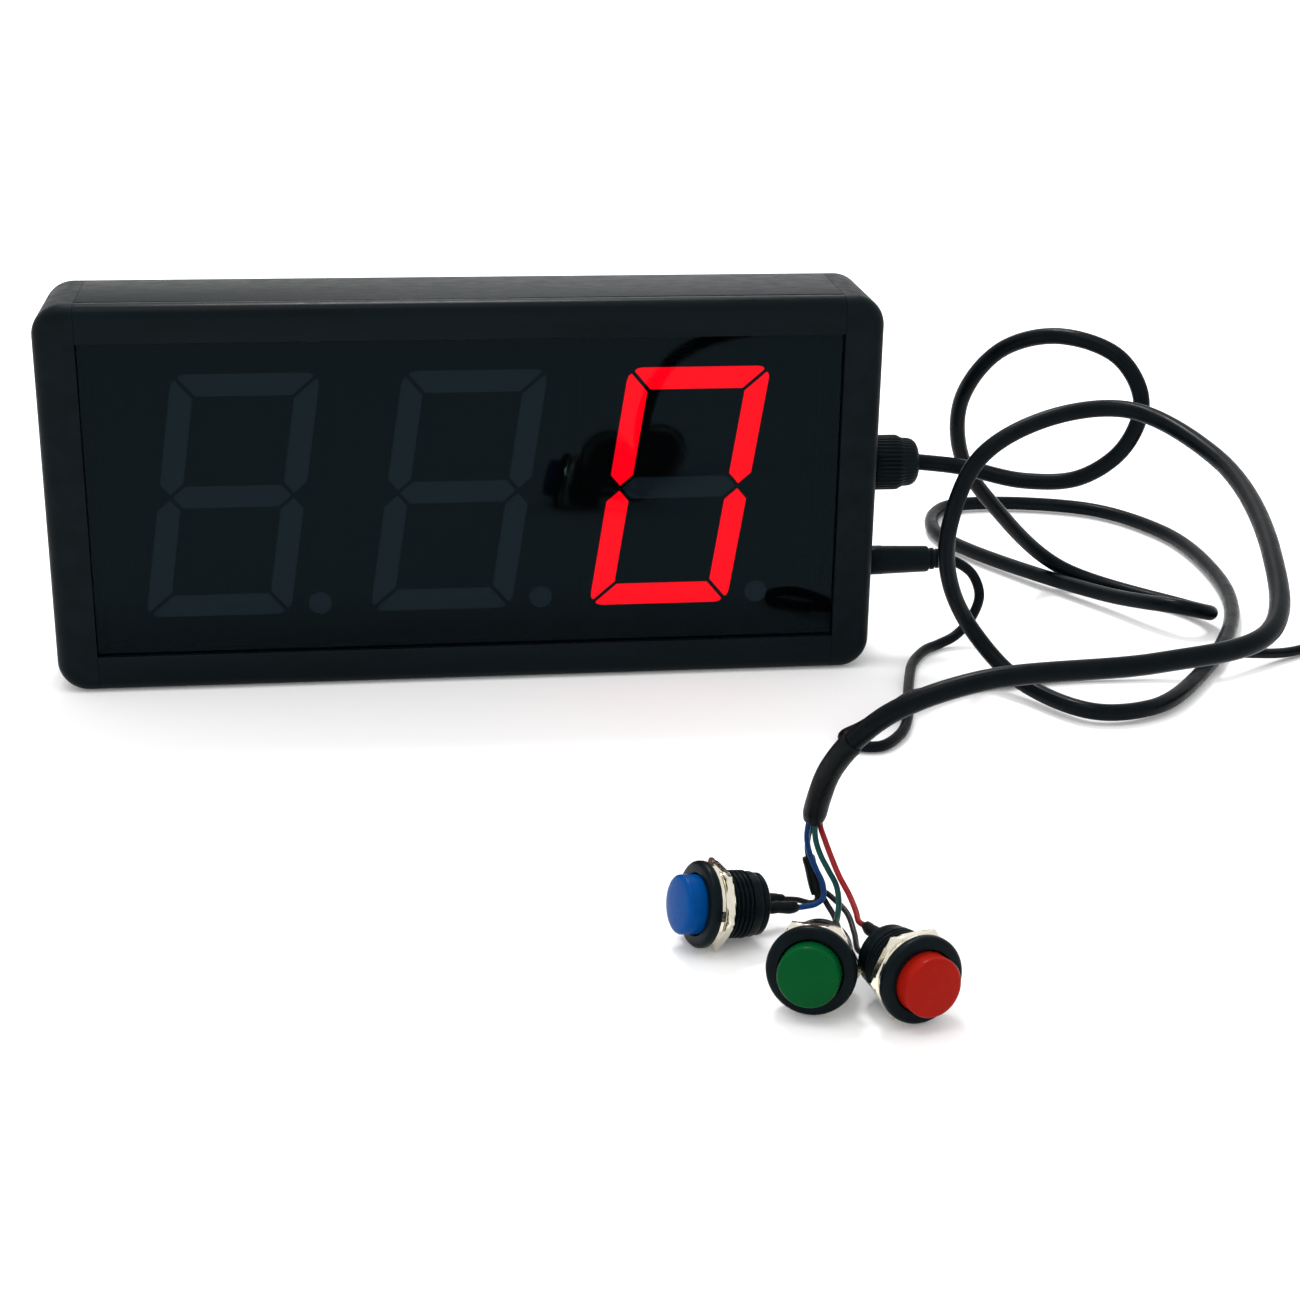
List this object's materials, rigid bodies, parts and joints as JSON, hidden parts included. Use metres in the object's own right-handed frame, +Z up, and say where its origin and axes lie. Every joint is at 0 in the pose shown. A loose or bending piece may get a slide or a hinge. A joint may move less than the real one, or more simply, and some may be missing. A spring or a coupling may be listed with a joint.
{
  "type": "gym round timer",
  "caption": "Wall or desk gym round timer: slim LED digit display in a black extruded case, with three loose wired push-buttons on a control cable and a plug-in power lead.",
  "frame": {"origin": "Middle of the case's underside, the face it stands on.", "axes": "+X is to the right seen from the front, towards the cable gland and power jack. +Y is from the window to the rear cover. +Z is up."},
  "size_m": [0.4488, 0.3824, 0.116],
  "materials": {
    "blue_button_cap": "moulded, satin gloss",
    "blue_button_housing": "moulded, satin",
    "blue_button_nut": "nickel plated, bright",
    "blue_button_spring": "drawn wire",
    "blue_button_terminals": "moulded, satin",
    "blue_button_washer": "nickel plated, bright",
    "cable_end_sleeve": "shrunk, satin",
    "cable_header": "moulded, satin",
    "control_cable": "PVC jacket, satin",
    "controller_chip": "moulded, matte",
    "dc_jack": "moulded, satin",
    "dc_jack_nut": "nickel plated, bright",
    "dc_plug": "moulded, satin",
    "digit_driver_1": "moulded, matte",
    "digit_driver_2": "moulded, matte",
    "digit_driver_3": "moulded, matte",
    "digit_housing_1": "moulded, matte",
    "digit_housing_2": "moulded, matte",
    "digit_housing_3": "moulded, matte",
    "digit_segments_1": "unlit diffuser, satin",
    "digit_segments_2": "unlit diffuser, satin",
    "digit_segments_3": "lit diffuser, satin",
    "display_board": "solder mask, satin",
    "front_window": "smoked acrylic, polished",
    "gland_body": "moulded, satin",
    "gland_cap_nut": "moulded, satin",
    "gland_locknut": "moulded, satin",
    "gland_seal": "moulded, matte",
    "green_button_cap": "moulded, satin gloss",
    "green_button_housing": "moulded, satin",
    "green_button_nut": "nickel plated, bright",
    "green_button_spring": "drawn wire",
    "green_button_terminals": "moulded, satin",
    "green_button_washer": "nickel plated, bright",
    "inner_control_lead": "PVC jacket, satin",
    "inner_power_lead": "PVC jacket, satin",
    "left_end_cap": "moulded, fine texture",
    "left_lower_cap_screw": "black oxide, satin",
    "left_upper_cap_screw": "black oxide, satin",
    "lower_rail": "black anodised, satin",
    "power_adapter": "moulded, satin",
    "power_header": "moulded, satin",
    "power_lead": "PVC jacket, satin",
    "power_lead_coil": "PVC jacket, satin",
    "power_lead_end": "PVC jacket, satin",
    "rear_cover": "black powder coat, satin",
    "red_button_cap": "moulded, satin gloss",
    "red_button_housing": "moulded, satin",
    "red_button_nut": "nickel plated, bright",
    "red_button_spring": "drawn wire",
    "red_button_terminals": "moulded, satin",
    "red_button_washer": "nickel plated, bright",
    "right_end_cap": "moulded, fine texture",
    "right_lower_cap_screw": "black oxide, satin",
    "right_upper_cap_screw": "black oxide, satin",
    "upper_rail": "black anodised, satin",
    "wire_blue": "PVC, satin",
    "wire_common": "PVC, satin",
    "wire_green": "PVC, satin",
    "wire_red": "PVC, satin"
  },
  "bodies": {
    "timer": {"blue_button_housing": "blue_button_housing", "blue_button_nut": "blue_button_nut", "blue_button_spring": "blue_button_spring", "blue_button_terminals": "blue_button_terminals", "blue_button_washer": "blue_button_washer", "cable_end_sleeve": "cable_end_sleeve", "cable_header": "cable_header", "control_cable": "control_cable", "controller_chip": "controller_chip", "dc_jack": "dc_jack", "dc_jack_nut": "dc_jack_nut", "dc_plug": "dc_plug", "digit_driver_1": "digit_driver_1", "digit_driver_2": "digit_driver_2", "digit_driver_3": "digit_driver_3", "digit_housing_1": "digit_housing_1", "digit_housing_2": "digit_housing_2", "digit_housing_3": "digit_housing_3", "digit_segments_1": "digit_segments_1", "digit_segments_2": "digit_segments_2", "digit_segments_3": "digit_segments_3", "display_board": "display_board", "front_window": "front_window", "gland_body": "gland_body", "gland_cap_nut": "gland_cap_nut", "gland_locknut": "gland_locknut", "gland_seal": "gland_seal", "green_button_housing": "green_button_housing", "green_button_nut": "green_button_nut", "green_button_spring": "green_button_spring", "green_button_terminals": "green_button_terminals", "green_button_washer": "green_button_washer", "inner_control_lead": "inner_control_lead", "inner_power_lead": "inner_power_lead", "left_end_cap": "left_end_cap", "left_lower_cap_screw": "left_lower_cap_screw", "left_upper_cap_screw": "left_upper_cap_screw", "lower_rail": "lower_rail", "power_adapter": "power_adapter", "power_header": "power_header", "power_lead": "power_lead", "power_lead_coil": "power_lead_coil", "power_lead_end": "power_lead_end", "rear_cover": "rear_cover", "red_button_housing": "red_button_housing", "red_button_nut": "red_button_nut", "red_button_spring": "red_button_spring", "red_button_terminals": "red_button_terminals", "red_button_washer": "red_button_washer", "right_end_cap": "right_end_cap", "right_lower_cap_screw": "right_lower_cap_screw", "right_upper_cap_screw": "right_upper_cap_screw", "upper_rail": "upper_rail", "wire_blue": "wire_blue", "wire_common": "wire_common", "wire_green": "wire_green", "wire_red": "wire_red"},
    "blue_plunger": {"blue_button_cap": "blue_button_cap"},
    "green_plunger": {"green_button_cap": "green_button_cap"},
    "red_plunger": {"red_button_cap": "red_button_cap"}
  },
  "joints": [
    {"name": "blue_press", "type": "slide", "parent": "timer", "child": "blue_plunger", "axis": [0.9524, 0.2552, -0.1668], "range_m": [0, 0.0025], "stiffness_N_per_m": 400, "deforming": ["blue_button_spring"]},
    {"name": "green_press", "type": "slide", "parent": "timer", "child": "green_plunger", "axis": [0.3372, 0.9265, -0.1668], "range_m": [0, 0.0025], "stiffness_N_per_m": 400, "deforming": ["green_button_spring"]},
    {"name": "red_press", "type": "slide", "parent": "timer", "child": "red_plunger", "axis": [-0.3078, 0.9474, -0.0872], "range_m": [0, 0.0025], "stiffness_N_per_m": 400, "deforming": ["red_button_spring"]}
  ]
}
